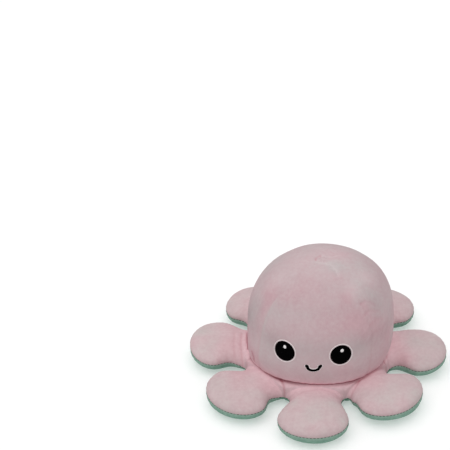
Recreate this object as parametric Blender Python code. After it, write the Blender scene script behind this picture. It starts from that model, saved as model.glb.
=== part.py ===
"""Plush octopus, 200 mm across: a stuffed dome on a ring of eight stuffed tentacles.

It is a toy of two skins. The pink skin shows outside, with a smiling face; the green one lines
the hollow of the head and the underside, with a cross face, and the toy can be pushed inside out
through its mouth. Z is up, the face looks along -Y, and the origin is on the floor at the centre.
Each tentacle bends at a rounded knuckle that sits in a socket of the skirt.
"""

import math

import bmesh
import bpy
from mathutils import Vector

mm = 0.001

# Fabric, thread, and the clearance between pieces that touch
fabric_wall = 1.6 * mm
thread_wall = 0.8 * mm
gap = 0.3 * mm
floor_cut = 0.5 * mm
weld = 0.01 * mm

# Head: an upright dome, fuller below its widest ring than above it, of four gores
head_radius = 55.1 * mm
head_middle = 41.9 * mm
head_rise = 51.8 * mm
head_drop = 40.7 * mm
crown_power = 2.34
base_power = 3.14
head_seat = 19.5 * mm
head_turn = math.radians(-4)
head_lean_share = 0.08
gore_count = 4
gore_steps = 6
gore_shift = 0.52 * mm
apex_opening = 1.4 * mm

# Hollow of the head, lined in the second colour, and its mouth, drawn in below
head_stuffing = 21.1 * mm
mouth_draw = 7 * mm
hollow_radius = head_radius - head_stuffing
hollow_middle = 42 * mm
hollow_rise = 30 * mm
mouth_radius = hollow_radius - mouth_draw
mouth_height = 9 * mm
mouth_round = 11 * mm
hollow_fullness_share = 0.8
lining_clear = 0.9 * mm

# Tentacles: a ring of stuffed lobes, each with a flat seam at half its height, hinged under the
# head's edge; the hinge ring follows the head, and the lobes fill the ring
tentacle_count = 8
seam_height = 11 * mm
hinge_out = 1.9 * mm
lobe_run = 17.4 * mm
lobe_gap = 5.74 * mm
lobe_rise = 9.6 * mm
hinge_reach = head_radius + hinge_out
lobe_reach = hinge_reach + lobe_run
lobe_radius = lobe_reach * math.sin(math.pi / tentacle_count) - lobe_gap / 2
lobe_drop = seam_height + floor_cut
lift_limit = math.radians(40)
droop_limit = math.radians(35)
pillow_power = 2.3
tip_fullness_share = 0.6

# Skirt: the ring that carries the tentacles and seats the head, notched between the tentacles
notch_out = 1.3 * mm
neck_in = 6.5 * mm
corner_back = 1.5 * mm
notch_reach = hinge_reach + notch_out
neck_radius = hinge_reach - neck_in
sole_share = 0.55
top_middle_share = 0.5
lip_power = 2
crease_depth = 0.3 * mm

# Knuckles: the tentacles' rounded inner ends, nested in the skirt
knuckle_radius = 6.8 * mm
knuckle_side = 2.31 * mm
knuckle_half_length = notch_reach * math.sin(math.pi / tentacle_count) - knuckle_side
knuckle_lap = math.radians(5)

# Faces: sizes on the head's surface; the inner face is the same drawing at the hollow's scale
eye_across = 20.5 * mm
eye_height = 46.7 * mm
eye_long = 8.6 * mm
eye_short = 8 * mm
eye_tilt = math.radians(113)
border_width = 0.9 * mm
highlight_radius = 1.6 * mm
highlight_up = 3.4 * mm
smile_across = 1.6 * mm
smile_half_width = 4.7 * mm
smile_height = 38.4 * mm
smile_depth = 5 * mm
stroke_width = 1.8 * mm
lid_share = 0.25
lid_slope_share = 0.55
below_brow_share = 0.75
sag_allowance = 0.95 * mm

# How finely each form is laid out, as angles and as shares of its length
head_rows = 8
hollow_crown_rows = 4
hollow_flank_rows = 3
tentacle_columns = [math.radians(a) for a in (0, 22, 52, 90, 128, 158, 180)]
stuffing_columns = [math.radians(a) for a in (0, 52, 90, 128)]
tentacle_row_shares = (-1, -1 / 2, 0, 1 / 2, 1, 4 / 3, 5 / 3, 2)
stuffing_row_shares = (-2, -1, 0, 1 / 2, 1, 4 / 3, 5 / 3, 2)
eye_columns = 16
small_columns = 10
smile_columns = 9
settle_steps = 20

tentacle_names = (
    "front", "front_right", "right", "back_right", "back", "back_left", "left", "front_left",
)

pink = (0.62, 0.42, 0.45)
green = (0.16, 0.33, 0.24)
black = (0.01, 0.01, 0.01)
white = (0.85, 0.85, 0.83)
wadding = (0.86, 0.85, 0.82)


def fresh_scene():
    for obj in list(bpy.data.objects):
        bpy.data.objects.remove(obj)


def make_collection(name):
    collection = bpy.data.collections.new(name)
    bpy.context.scene.collection.children.link(collection)
    return collection


def make_material(name, colour, roughness):
    material = bpy.data.materials.new(name)
    material.use_nodes = True
    shader = material.node_tree.nodes["Principled BSDF"]
    shader.inputs["Base Color"].default_value = (*colour, 1)
    shader.inputs["Roughness"].default_value = roughness
    shader.inputs["Metallic"].default_value = 0
    return material


def add_piece(name, mesh, material, collection, parent):
    """One object for one sewn or stuffed piece, smooth where its facets are shallow."""
    obj = bpy.data.objects.new(name, mesh)
    if not mesh.materials:
        mesh.materials.append(material)
    mesh.shade_smooth()
    mesh.set_sharp_from_angle(angle=math.radians(50))
    collection.objects.link(obj)
    obj.parent = parent
    return obj


def add_empty(name, collection, location, turn, parent=None):
    empty = bpy.data.objects.new(name, None)
    collection.objects.link(empty)
    empty.location = location
    empty.rotation_euler = (0, 0, turn)
    empty.parent = parent
    return empty


def lay_grid(bm, columns, rows, place):
    """Adds a grid and moves each of its corners to place(column, row). Returns them by index."""
    across, along = len(columns) - 1, len(rows) - 1
    made = bmesh.ops.create_grid(bm, x_segments=across, y_segments=along, size=1)
    laid = {}
    for vert in made["verts"]:
        i = round((vert.co.x + 1) / 2 * across)
        j = round((vert.co.y + 1) / 2 * along)
        vert.co = place(columns[i], rows[j])
        laid[i, j] = vert
    return laid


def finish_mesh(bm, name):
    bmesh.ops.remove_doubles(bm, verts=bm.verts, dist=weld)
    bmesh.ops.recalc_face_normals(bm, faces=bm.faces)
    mesh = bpy.data.meshes.new(name)
    bm.to_mesh(mesh)
    bm.free()
    return mesh


def panel_mesh(name, columns, rows, place, wall, sides):
    """A panel of cloth: one grid on its face, one a wall further in, and a rim on the named sides.

    place(column, row, inset) gives the point that lies inset behind the face. The sides are
    first and last column, and first and last row; a side that is left out closes on itself.
    """
    bm = bmesh.new()
    face = lay_grid(bm, columns, rows, lambda c, r: place(c, r, 0))
    back = lay_grid(bm, columns, rows, lambda c, r: place(c, r, wall))
    last_column, last_row = len(columns) - 1, len(rows) - 1
    lines = {
        "first_row": [(i, 0) for i in range(last_column + 1)],
        "last_row": [(i, last_row) for i in range(last_column + 1)],
        "first_column": [(0, j) for j in range(last_row + 1)],
        "last_column": [(last_column, j) for j in range(last_row + 1)],
    }
    for side in sides:
        for a, b in zip(lines[side], lines[side][1:]):
            bm.faces.new((face[a], face[b], back[b], back[a]))
    return finish_mesh(bm, name)


def stuffing_mesh(name, columns, rows, place):
    """A closed form: a grid that wraps round, or runs to a point, at each of its sides."""
    bm = bmesh.new()
    lay_grid(bm, columns, rows, place)
    return finish_mesh(bm, name)


def rounded(share):
    """The depth left at a share of a superellipse's half width."""
    return max(1 - abs(share) ** pillow_power, 0) ** (1 / pillow_power)


def bowed(value):
    """A cosine or sine that is drawn out to a superellipse, with its sign kept."""
    return math.copysign(abs(value) ** (2 / pillow_power), value)


# Head

def head_outline(turn, inset):
    """Radius and height of the head's skin, turn running from 0 at the top to pi below."""
    upper = turn <= math.pi / 2
    share = 2 / (crown_power if upper else base_power)
    reach = head_rise - inset if upper else inset - head_drop
    radius = (head_radius - inset) * math.sin(turn) ** share
    return radius, head_middle + reach * abs(math.cos(turn)) ** share


def head_turn_at_radius(radius, inset):
    """The turn on the crown where the skin has a radius."""
    return math.asin((radius / (head_radius - inset)) ** (crown_power / 2))


def head_turn_at_height(height, inset):
    """The turn below the widest ring where the skin has a height."""
    share = (head_middle - height) / (head_drop - inset)
    return math.pi / 2 + math.asin(share ** (base_power / 2))


def hollow_outline(turn, outset):
    """Radius and height of the lining: a crown above, drawn in to the mouth below."""
    if turn <= math.pi / 2:
        share = 2 / crown_power
        radius = (hollow_radius + outset) * math.sin(turn) ** share
        return radius, hollow_middle + (hollow_rise + outset) * math.cos(turn) ** share
    down = turn / (math.pi / 2) - 1
    flare = math.cos(down * math.pi / 2) ** hollow_fullness_share if down < 1 else 0
    radius = mouth_radius + (hollow_radius - mouth_radius) * flare + outset
    return radius, hollow_middle + (mouth_height + lining_clear - hollow_middle) * down


def hollow_turn_at_height(height):
    down = (hollow_middle - height) / (hollow_middle - mouth_height - lining_clear)
    return math.pi / 2 * (1 + down)


def spread(start, end, count):
    return [start + (end - start) * i / count for i in range(count + 1)]


def gore_heading(index):
    """The compass turn of a gore's middle, the first one at the face."""
    return -math.pi / 2 + index * 2 * math.pi / gore_count


def gore_columns(heading, gores):
    """Headings across a number of gores, from the left edge of the first one."""
    start = heading - math.pi / gore_count
    return spread(start, start + gores * 2 * math.pi / gore_count, gores * gore_steps)


def turned(heading, radius, height):
    return Vector((radius * math.cos(heading), radius * math.sin(heading), height))


def leaned(height):
    """How far the head has gone sideways at a height."""
    return Vector((head_lean_share * (height - head_seat), 0, 0))


def head_point(heading, share, inset):
    """A point of the head's skin: share 0 is at the opening on top, and 1 is the lower edge."""
    start = head_turn_at_radius(apex_opening, 0)
    end = head_turn_at_height(head_seat, inset)
    radius, height = head_outline(start + (end - start) * share, inset)
    return turned(heading, radius, height) + leaned(height)


def lining_point(heading, turn, outset):
    return turned(heading, *hollow_outline(turn, outset))


def head_filling_point(heading, row):
    """Row -1 is the top, rows 0 to 1 run down the skin, and from 2 on they are the lining's turns."""
    if row < 0:
        top = head_middle + head_rise - fabric_wall - gap
        return turned(heading, 0, top) + leaned(top)
    if row <= 1:
        return head_point(heading, row, fabric_wall + gap)
    return lining_point(heading, row - 2, fabric_wall + gap + gore_shift)


def add_gores(names, rows, place, material, collection, parent):
    """Four panels of a dome, each eased outwards so that its seams stay open."""
    rims = ("first_row", "last_row", "first_column", "last_column")
    for index, name in enumerate(names):
        heading = gore_heading(index)
        mesh = panel_mesh(name, gore_columns(heading, 1), rows, place, fabric_wall, rims)
        obj = add_piece(name, mesh, material, collection, parent)
        obj.location = turned(heading, gore_shift, 0)


def add_head(cloth, lining, fill, collection, parent):
    shares = spread(0, 1, head_rows)
    names = ("head_face_panel", "head_right_panel", "head_back_panel", "head_left_panel")
    add_gores(names, shares, head_point, cloth, collection, parent)

    hollow_start = math.asin((apex_opening / hollow_radius) ** (crown_power / 2))
    crown = spread(hollow_start, math.pi / 2, hollow_crown_rows)
    flank = spread(math.pi / 2, math.pi, hollow_flank_rows)[1:]
    inner_names = ("lining_face_panel", "lining_right_panel", "lining_back_panel", "lining_left_panel")
    add_gores(inner_names, crown + flank, lining_point, lining, collection, parent)

    seat = hollow_turn_at_height(head_seat)
    turns = [seat] + [t for t in reversed(crown + flank) if t < seat] + [0]
    columns = gore_columns(gore_heading(0), gore_count)
    mesh = stuffing_mesh("head_filling", columns, [-1] + shares + [t + 2 for t in turns], head_filling_point)
    add_piece("head_filling", mesh, fill, collection, parent)


# Faces

def head_surface(across, height, lift):
    """A point lift above the head's skin, an arc length across from the face's middle."""
    share = (height - head_middle) / (head_rise if height > head_middle else head_drop)
    power = crown_power if height > head_middle else base_power
    radius = head_radius * (1 - abs(share) ** power) ** (1 / power)
    out = (radius / head_radius) ** (power - 1) / head_radius
    up = math.copysign(abs(share) ** (power - 1), share)
    up = up / (head_rise if height > head_middle else head_drop)
    tilt = math.atan2(up, out)
    turn = across / radius
    away = radius + lift * math.cos(tilt)
    point = Vector((away * math.sin(turn), -away * math.cos(turn), height + lift * math.sin(tilt)))
    return point + leaned(height)


def hollow_surface(across, height, lift):
    """The same on the lining, where the drawing is at the hollow's scale and lies inwards."""
    scale = hollow_radius / head_radius
    level = hollow_middle + (height - head_middle) * scale
    if level > hollow_middle:
        share = (level - hollow_middle) / hollow_rise
        radius = hollow_radius * (1 - share**crown_power) ** (1 / crown_power)
    else:
        radius = hollow_outline(hollow_turn_at_height(level), 0)[0]
    turn = across * scale / radius
    away = radius - sag_allowance - lift
    return Vector((away * math.sin(turn), -away * math.cos(turn), level))


def eye_point(angle, grow, side, lidded):
    """A point of an eye's edge from its middle, grown outwards; a lidded eye is cut by its brow."""
    long, short = eye_long + grow, eye_short + grow
    if not lidded:
        along, over, tilt = long * math.cos(angle), short * math.sin(angle), side * eye_tilt
        return (
            along * math.cos(tilt) - over * math.sin(tilt),
            along * math.sin(tilt) + over * math.cos(tilt),
        )
    level, slope = eye_short * lid_share + grow, lid_slope_share * long
    lean = math.atan2(slope, short)
    meet = math.asin(level / math.hypot(slope, short))
    low, high = lean + math.pi - meet, lean + meet + 2 * math.pi
    share = angle / (2 * math.pi)
    if share <= below_brow_share:
        turn = low + (high - low) * share / below_brow_share
        return side * long * math.cos(turn), short * math.sin(turn)
    back = (share - below_brow_share) / (1 - below_brow_share)
    along = long * (math.cos(high) + (math.cos(low) - math.cos(high)) * back)
    return side * along, level + lid_slope_share * along


def add_eye(prefix, side, surface, lidded, dark, light, collection, parent):
    middle = side * eye_across
    round_it = spread(0, 2 * math.pi, eye_columns)

    def disc(angle, share, inset):
        x, y = eye_point(angle, 0, side, lidded)
        return surface(middle + x * share, eye_height + y * share, gap + thread_wall - inset)

    def ring(angle, grow, inset):
        x, y = eye_point(angle, grow, side, lidded)
        return surface(middle + x, eye_height + y, gap + thread_wall - inset)

    def spot(angle, share, inset):
        x = highlight_radius * share * math.cos(angle)
        y = highlight_radius * share * math.sin(angle)
        up = highlight_up * (lid_share if lidded else 1)
        return surface(middle + x, eye_height + up + y, 2 * (gap + thread_wall) - inset)

    pieces = (
        ("", round_it, (0, 1), disc, ("last_row",), dark),
        ("_border", round_it, (gap, gap + border_width), ring, ("first_row", "last_row"), light),
        ("_highlight", spread(0, 2 * math.pi, small_columns), (0, 1), spot, ("last_row",), light),
    )
    for ending, columns, rows, place, rims, material in pieces:
        mesh = panel_mesh(prefix + ending, columns, rows, place, thread_wall, rims)
        add_piece(prefix + ending, mesh, material, collection, parent)


def add_mouth(name, surface, frown, material, collection, parent):
    """A stitched arc; the cross face has it the other way up."""
    flip = -1 if frown else 1

    def stroke(turn, share, inset):
        x = (smile_half_width + share * stroke_width) * math.sin(turn)
        y = (smile_depth + share * stroke_width) * math.cos(turn)
        return surface(smile_across + x, smile_height - flip * y, gap + thread_wall - inset)

    half = math.pi / 2
    columns = spread(-half, half, smile_columns)
    rims = ("first_row", "last_row", "first_column", "last_column")
    mesh = panel_mesh(name, columns, (-1 / 2, 1 / 2), stroke, thread_wall, rims)
    add_piece(name, mesh, material, collection, parent)


def add_faces(dark, light, collection, parent):
    heading = gore_heading(0)
    place = (gore_shift * math.cos(heading), gore_shift * math.sin(heading), 0)
    front = add_empty("face_middle", collection, place, 0, parent)
    for side, word in ((-1, "left"), (1, "right")):
        add_eye(word + "_eye", side, head_surface, False, dark, light, collection, front)
        add_eye("inner_" + word + "_eye", side, hollow_surface, True, dark, light, collection, front)
    add_mouth("smile", head_surface, False, dark, collection, front)
    add_mouth("inner_frown", hollow_surface, True, dark, collection, front)


# Tentacles, laid out from their hinge: X outwards, Y along the hinge's axis, Z up from the seam

def tentacle_point(column, row, side, inset):
    """A point of the tentacle's skin, or inset behind it.

    Rows to -1 close the back of the knuckle, rows to 0 go round it about the hinge's axis, rows
    to 1 swell to the lobe's widest section, and rows to 2 round the tip.
    """
    if side > 0:
        ahead, behind, full = lift_limit, droop_limit + knuckle_lap, lobe_rise - inset
    else:
        ahead, behind, full = droop_limit, lift_limit + knuckle_lap, lobe_drop - inset
    wide, round_share = bowed(math.cos(column)), abs(bowed(math.sin(column)))
    hold = (knuckle_radius - inset) * round_share
    lobe_out = lobe_reach - hinge_reach
    if row <= 0:
        turn = ahead + (ahead + behind) * row if row >= -1 else -math.pi / 2
        out, rise = hold * math.sin(turn), hold * max(math.cos(turn), 0)
        across = (knuckle_half_length - inset) * wide
    elif row <= 1:
        swell = math.sin(math.pi / 2 * row)
        out = hold * math.sin(ahead) + (lobe_out - hold * math.sin(ahead)) * row
        across = (knuckle_half_length + (lobe_radius - knuckle_half_length) * swell - inset) * wide
        rise = hold * math.cos(ahead) + (full * round_share - hold * math.cos(ahead)) * swell
    else:
        turn = (row - 1) * math.pi / 2
        out = lobe_out + (lobe_radius - inset) * math.sin(turn)
        across = (lobe_radius - inset) * math.cos(turn) * wide
        rise = full * max(math.cos(turn), 0) ** tip_fullness_share * round_share
    if side < 0:
        rise = min(rise, seam_height - gap / 2 - inset)
    return Vector((out, across, side * rise))


def tentacle_skin(column, row, side, inset):
    return tentacle_point(column, row, side, inset) + Vector((0, 0, side * gap / 2))


def tentacle_heading(index):
    return -math.pi / 2 + index * 2 * math.pi / tentacle_count


def add_tentacles(cloth, lining, fill, collection):
    rims = ("first_column", "last_column", "first_row")
    top = panel_mesh(
        "tentacle_top", tentacle_columns, tentacle_row_shares,
        lambda c, r, inset: tentacle_skin(c, r, 1, inset), fabric_wall, rims,
    )
    underside = panel_mesh(
        "tentacle_underside", tentacle_columns, tentacle_row_shares,
        lambda c, r, inset: tentacle_skin(c, r, -1, inset), fabric_wall, rims,
    )
    loop = [(c, 1) for c in stuffing_columns]
    loop += [(math.pi - c, -1) for c in stuffing_columns]
    loop.append(loop[0])
    filling = stuffing_mesh(
        "tentacle_filling", loop, stuffing_row_shares,
        lambda c, r: tentacle_point(c[0], r, c[1], fabric_wall + 2 * gap),
    )
    for index, name in enumerate(tentacle_names):
        heading = tentacle_heading(index)
        place = (hinge_reach * math.cos(heading), hinge_reach * math.sin(heading), seam_height)
        hinge = add_empty("hinge_" + name, collection, place, heading)
        add_piece("tentacle_top_" + name, top, cloth, collection, hinge)
        add_piece("tentacle_underside_" + name, underside, lining, collection, hinge)
        add_piece("tentacle_filling_" + name, filling, fill, collection, hinge)


# Skirt, laid out by columns: each is a tentacle and a place along its hinge, or a notch

def skirt_columns():
    lips = [knuckle_half_length * bowed(math.cos(c)) for c in reversed(tentacle_columns[1:-1])]
    columns = []
    for index in range(tentacle_count):
        columns.append((index, None))
        columns += [(index, across) for across in lips]
    columns.append((tentacle_count, None))
    return columns


def plan_point(index, out, across):
    """A point of the floor plan from a tentacle's heading; half an index is a notch's heading."""
    heading = tentacle_heading(index)
    ahead = Vector((math.cos(heading), math.sin(heading), 0))
    aside = Vector((-math.sin(heading), math.cos(heading), 0))
    return ahead * out + aside * across


def socket_half_length():
    return notch_reach * math.sin(math.pi / tentacle_count)


def skirt_edge(column, inset):
    """Where the skirt ends over a knuckle or in a notch: the plan point and the lip's depth."""
    index, across = column
    if across is None:
        return plan_point(index - 1 / 2, notch_reach - inset, 0), 0
    lip = knuckle_radius + gap + fabric_wall - inset
    share = across / (socket_half_length() + fabric_wall - inset)
    return plan_point(index, hinge_reach, across), lip * rounded(share)


def neck_rise():
    """From the seam to the skirt's top, which lies just under the head's lower edge."""
    return head_seat - gap - crease_depth - gap / 2 - seam_height


def skirt_top_point(column, row, inset):
    """Row 0 is under the head's lower edge, row 1 the lip over the knuckle."""
    edge, lip = skirt_edge(column, inset)
    plan = edge.normalized() * (neck_radius + (edge.length - neck_radius) * row)
    rise = lip + (neck_rise() - inset - lip) * (1 - row**lip_power)
    return plan + Vector((0, 0, seam_height + gap / 2 + rise))


def mouth_lip_point(direction, turn, inset):
    """The rolled edge of the mouth, from upright at turn 0 to flat on the floor."""
    radius = mouth_radius + mouth_round - (mouth_round - inset) * math.cos(turn)
    return direction * radius + Vector((0, 0, mouth_height - (mouth_height - inset) * math.sin(turn)))


def skirt_sole_point(column, row, inset):
    """Rows below 0 roll round the mouth's lip, and rows to 1 run out to the knuckle."""
    edge, lip = skirt_edge(column, inset)
    direction = edge.normalized()
    if row <= 0:
        return mouth_lip_point(direction, (row + 1) * math.pi / 2, inset)
    start = mouth_radius + mouth_round
    beyond = max((row - sole_share) / (1 - sole_share), 0)
    level = inset + (seam_height - gap / 2 - lip - inset) * beyond
    return direction * (start + (edge.length - start) * row) + Vector((0, 0, level))


def socket_reach(across):
    """How far out along a column the wadding runs before it meets the knuckle's socket."""
    turn = math.atan2(across, hinge_reach)
    reach = hinge_reach
    for _ in range(settle_steps):
        hold = (knuckle_radius + gap) * rounded(reach * math.sin(turn) / socket_half_length())
        reach = (hinge_reach - hold) / math.cos(turn)
    return reach


def skirt_filling_point(column, row):
    """A ring of wadding: rows 0 to 6 go once round its section, from the mouth's upper edge."""
    inset = fabric_wall + gap
    across = column[1]
    edge, lip = skirt_edge(column, inset)
    direction = edge.normalized()
    wall = direction * (edge.length - corner_back if across is None else socket_reach(across))
    along = max((wall.length - neck_radius) / (edge.length - neck_radius), 0)
    top = lip + (neck_rise() - inset - lip) * (1 - along**lip_power) - 2 * gap
    clear = inset + gore_shift + sag_allowance
    hollow = hollow_outline(hollow_turn_at_height(head_seat - gap), clear)[0]
    shelf = min(wall.length, neck_radius - gap)
    start = mouth_radius + mouth_round
    outward = (wall.length - start) / (edge.length - start)
    beyond = max((outward - sole_share) / (1 - sole_share), 0)
    bottom = inset + (seam_height - lip - inset) * beyond + 2 * gap
    if row == 0:
        return direction * hollow + Vector((0, 0, head_seat - gap))
    if row == 1:
        return direction * shelf + Vector((0, 0, head_seat - gap))
    if row == 2:
        return direction * shelf + Vector((0, 0, seam_height + top))
    if row == 3:
        return wall + Vector((0, 0, seam_height + top))
    if row == 4:
        return wall + Vector((0, 0, bottom))
    return mouth_lip_point(direction, (6 - row) * math.pi / 2, clear)


def add_skirt(cloth, lining, fill, collection):
    columns = skirt_columns()
    rims = ("first_row", "last_row")
    top = panel_mesh(
        "skirt_top_panel", columns, (0, top_middle_share, 1), skirt_top_point, fabric_wall, rims
    )
    add_piece("skirt_top_panel", top, cloth, collection, None)
    sole = panel_mesh(
        "skirt_underside_panel", columns, (-1, -1 / 2, 0, sole_share, 1), skirt_sole_point,
        fabric_wall, rims,
    )
    add_piece("skirt_underside_panel", sole, lining, collection, None)
    ring = stuffing_mesh("skirt_filling", columns, (0, 1, 2, 3, 4, 5, 6, 0), skirt_filling_point)
    add_piece("skirt_filling", ring, fill, collection, None)


def build():
    fresh_scene()
    collection = make_collection("plush_octopus")
    cloth = make_material("pink_plush", pink, 0.9)
    lining = make_material("green_plush", green, 0.9)
    fill = make_material("wadding", wadding, 1)
    dark = make_material("black_thread", black, 0.6)
    light = make_material("white_thread", white, 0.6)
    head = add_empty("head_axis", collection, (0, 0, 0), head_turn)
    add_head(cloth, lining, fill, collection, head)
    add_faces(dark, light, collection, head)
    add_skirt(cloth, lining, fill, collection)
    add_tentacles(cloth, lining, fill, collection)


build()
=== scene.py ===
import math

import bmesh
import bpy
import numpy as np
from mathutils import Matrix, Vector


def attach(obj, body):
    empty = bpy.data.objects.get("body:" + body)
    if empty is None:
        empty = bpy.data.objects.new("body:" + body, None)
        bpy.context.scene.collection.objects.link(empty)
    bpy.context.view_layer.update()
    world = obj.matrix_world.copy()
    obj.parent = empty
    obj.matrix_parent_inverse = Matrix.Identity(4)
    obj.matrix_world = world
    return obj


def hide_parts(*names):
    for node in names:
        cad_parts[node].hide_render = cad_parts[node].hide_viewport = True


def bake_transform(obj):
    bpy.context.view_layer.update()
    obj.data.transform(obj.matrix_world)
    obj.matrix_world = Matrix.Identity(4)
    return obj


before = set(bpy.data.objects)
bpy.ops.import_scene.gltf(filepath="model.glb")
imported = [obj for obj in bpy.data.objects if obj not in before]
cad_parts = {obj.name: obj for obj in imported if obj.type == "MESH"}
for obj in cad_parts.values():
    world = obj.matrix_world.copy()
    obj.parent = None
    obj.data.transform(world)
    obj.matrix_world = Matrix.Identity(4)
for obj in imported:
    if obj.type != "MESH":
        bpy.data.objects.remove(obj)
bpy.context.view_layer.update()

mm = 0.001  # every size in this file is in millimetres until it goes into a mesh
tau = 2 * math.pi
weldDistance = 0.002


# Shared shape maths

# a smooth step from 0 to 1: 3x squared minus 2x cubed, held flat outside
def ease(x):
    x = np.clip(x, 0, 1)
    return x * x * (3 - 2 * x)


# a bell of height 1 and the given half width
def bell(x, width):
    return np.exp(-(x / width) ** 2)


# a smooth line through knots: cubic pieces whose slopes are those of the chords beside them
def through(x, knots):
    kx, ky = np.array(knots, float).T
    slope = np.gradient(ky, kx)
    i = np.clip(np.searchsorted(kx, x) - 1, 0, len(kx) - 2)
    run = kx[i + 1] - kx[i]
    t = np.clip((x - kx[i]) / run, 0, 1)
    rise = ky[i + 1] - ky[i]
    bend = (1 - t) * (slope[i] * run - rise) - t * (slope[i + 1] * run - rise)
    return ky[i] + rise * t + t * (1 - t) * bend


# lumps in the stuffing: six sine waves that run in seeded directions, added up and divided by three
def lumps(points, size, seed):
    rng = np.random.default_rng(seed)
    total = 0
    for turn, tilt, phase in zip(rng.uniform(0, tau, 6), rng.uniform(-1, 1, 6), rng.uniform(0, tau, 6)):
        flat = math.sqrt(1 - tilt**2)
        way = np.array([flat * math.cos(turn), flat * math.sin(turn), tilt])
        total = total + np.sin(points @ way * tau / size + phase)
    return total / 3


# places along a smooth line through knots, each of their values by itself
def smoothLine(knots, count):
    knots = np.array(knots, float)
    share, fine = np.linspace(0, 1, len(knots)), np.linspace(0, 1, count)
    return [through(fine, np.stack([share, values], -1)) for values in knots.T]


# vectors divided by their length
def unit(v):
    return v / np.maximum(np.linalg.norm(v, axis=-1, keepdims=True), 1e-9)


# a power that keeps the sign, as in a superellipse
def signedPower(x, power):
    return np.sign(x) * np.abs(x) ** power


# the place at an azimuth (0 at the front, which is -Y, and positive to the right), a distance from
# the middle and a height
def spotAt(azimuth, radius, height):
    return np.stack([radius * np.sin(azimuth), -radius * np.cos(azimuth), height], -1)


# Turning grids of points into pieces

# points and faces in millimetres to a piece with its doubles merged; a mark is a number per point
def addMesh(name, points, faces, marks=None):
    mesh = bpy.data.meshes.new(name)
    mesh.from_pydata((points * mm).tolist(), [], faces.tolist())
    for mark, values in (marks or {}).items():
        layer = mesh.attributes.new(mark, "FLOAT", "POINT")
        layer.data.foreach_set("value", np.broadcast_to(values, len(points)).astype(np.float32))
    bm = bmesh.new()
    bm.from_mesh(mesh)
    bmesh.ops.remove_doubles(bm, verts=bm.verts, dist=weldDistance * mm)
    bmesh.ops.dissolve_degenerate(bm, edges=bm.edges, dist=weldDistance * mm / 10)
    bm.to_mesh(mesh)
    bm.free()
    mesh.shade_smooth()
    obj = bpy.data.objects.new(name, mesh)
    bpy.context.scene.collection.objects.link(obj)
    return obj


# quads between the points of a grid, turned so that they face away from a point inside
def gridFaces(grid, inside, ringed=False):
    rows, columns = grid.shape[:2]
    index = np.arange(rows * columns).reshape(rows, columns)
    if ringed:
        index = np.hstack([index, index[:, :1]])
    quads = np.stack([index[:-1, :-1], index[:-1, 1:], index[1:, 1:], index[1:, :-1]], -1).reshape(-1, 4)
    p = grid.reshape(-1, 3)[quads]
    normals = np.cross(p[:, 2] - p[:, 0], p[:, 3] - p[:, 1])
    outwards = np.sum(normals * (p.mean(1) - inside))
    return quads if outwards > 0 else quads[:, ::-1]


# a grid of points as one surface; ringed joins its last column to its first
def addSurface(name, grid, inside, ringed=False, marks=None):
    flat = {mark: values.reshape(-1) for mark, values in (marks or {}).items()}
    return addMesh(name, grid.reshape(-1, 3), gridFaces(grid, np.array(inside, float), ringed), flat)


# the cloth's own thickness, inwards from the surface
def addWall(piece, thickness):
    wall = piece.modifiers.new("cloth thickness", "SOLIDIFY")
    wall.thickness = thickness * mm
    wall.offset = -1
    wall.use_even_offset = False


# a piece's material, its slot, and the CAD nodes that it stands for
def dress(piece, material, nodes=()):
    piece.data.materials.append(material)
    if nodes:
        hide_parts(*nodes)


# Materials

def newMaterial(name):
    material = bpy.data.materials.new(name)
    material.use_nodes = True
    return material, material.node_tree, material.node_tree.nodes["Principled BSDF"]


# a node with its settings, plain values on its sockets, and links into them
def addNode(tree, kind, values=None, links=None, **settings):
    node = tree.nodes.new(kind)
    for key, value in settings.items():
        setattr(node, key, value)
    for key, value in (values or {}).items():
        node.inputs[key].default_value = value
    for key, socket in (links or {}).items():
        tree.links.new(socket, node.inputs[key])
    return node

def objectPlace(tree):
    return addNode(tree, "ShaderNodeTexCoord").outputs["Object"]


# a number that each point of the mesh carries
def mark(tree, name):
    return addNode(tree, "ShaderNodeAttribute", attribute_name=name).outputs["Fac"]


def noise(tree, place, scale, detail=2, roughness=0.5, distortion=0):
    made = addNode(tree, "ShaderNodeTexNoise", {
        "Scale": scale, "Detail": detail, "Roughness": roughness, "Distortion": distortion,
    }, {"Vector": place})
    return made.outputs["Fac"]


# one range of values to another by a smooth step
def remap(tree, value, low, high, toLow=0.0, toHigh=1.0):
    made = addNode(tree, "ShaderNodeMapRange", {
        "From Min": low, "From Max": high, "To Min": toLow, "To Max": toHigh,
    }, {"Value": value}, interpolation_type="SMOOTHSTEP")
    return made.outputs["Result"]


# from the first colour to the second by a share; each can be a socket or a plain value
def mixColour(tree, share, first, second):
    made = addNode(tree, "ShaderNodeMix", data_type="RGBA")
    for key, value in ((0, share), (6, first), (7, second)):
        if isinstance(value, bpy.types.NodeSocket):
            tree.links.new(value, made.inputs[key])
        else:
            made.inputs[key].default_value = value if key == 0 else (*value, 1)
    return made.outputs[2]


# sRGB as it is read off a picture, to the linear light that shaders take
def colour(*channels):
    share = np.array(channels) / 255
    return tuple(np.where(share < 0.04045, share / 12.92, ((share + 0.055) / 1.055) ** 2.4).tolist())


# arithmetic on sockets and plain values
def maths(tree, operation, *values):
    made = addNode(tree, "ShaderNodeMath", operation=operation)
    for socket, value in zip(made.inputs, values):
        if isinstance(value, bpy.types.NodeSocket):
            tree.links.new(value, socket)
        else:
            socket.default_value = value
    return made.outputs["Value"]


def setSockets(shader, **values):
    for name, value in values.items():
        shader.inputs[name.replace("_", " ")].default_value = value


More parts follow.
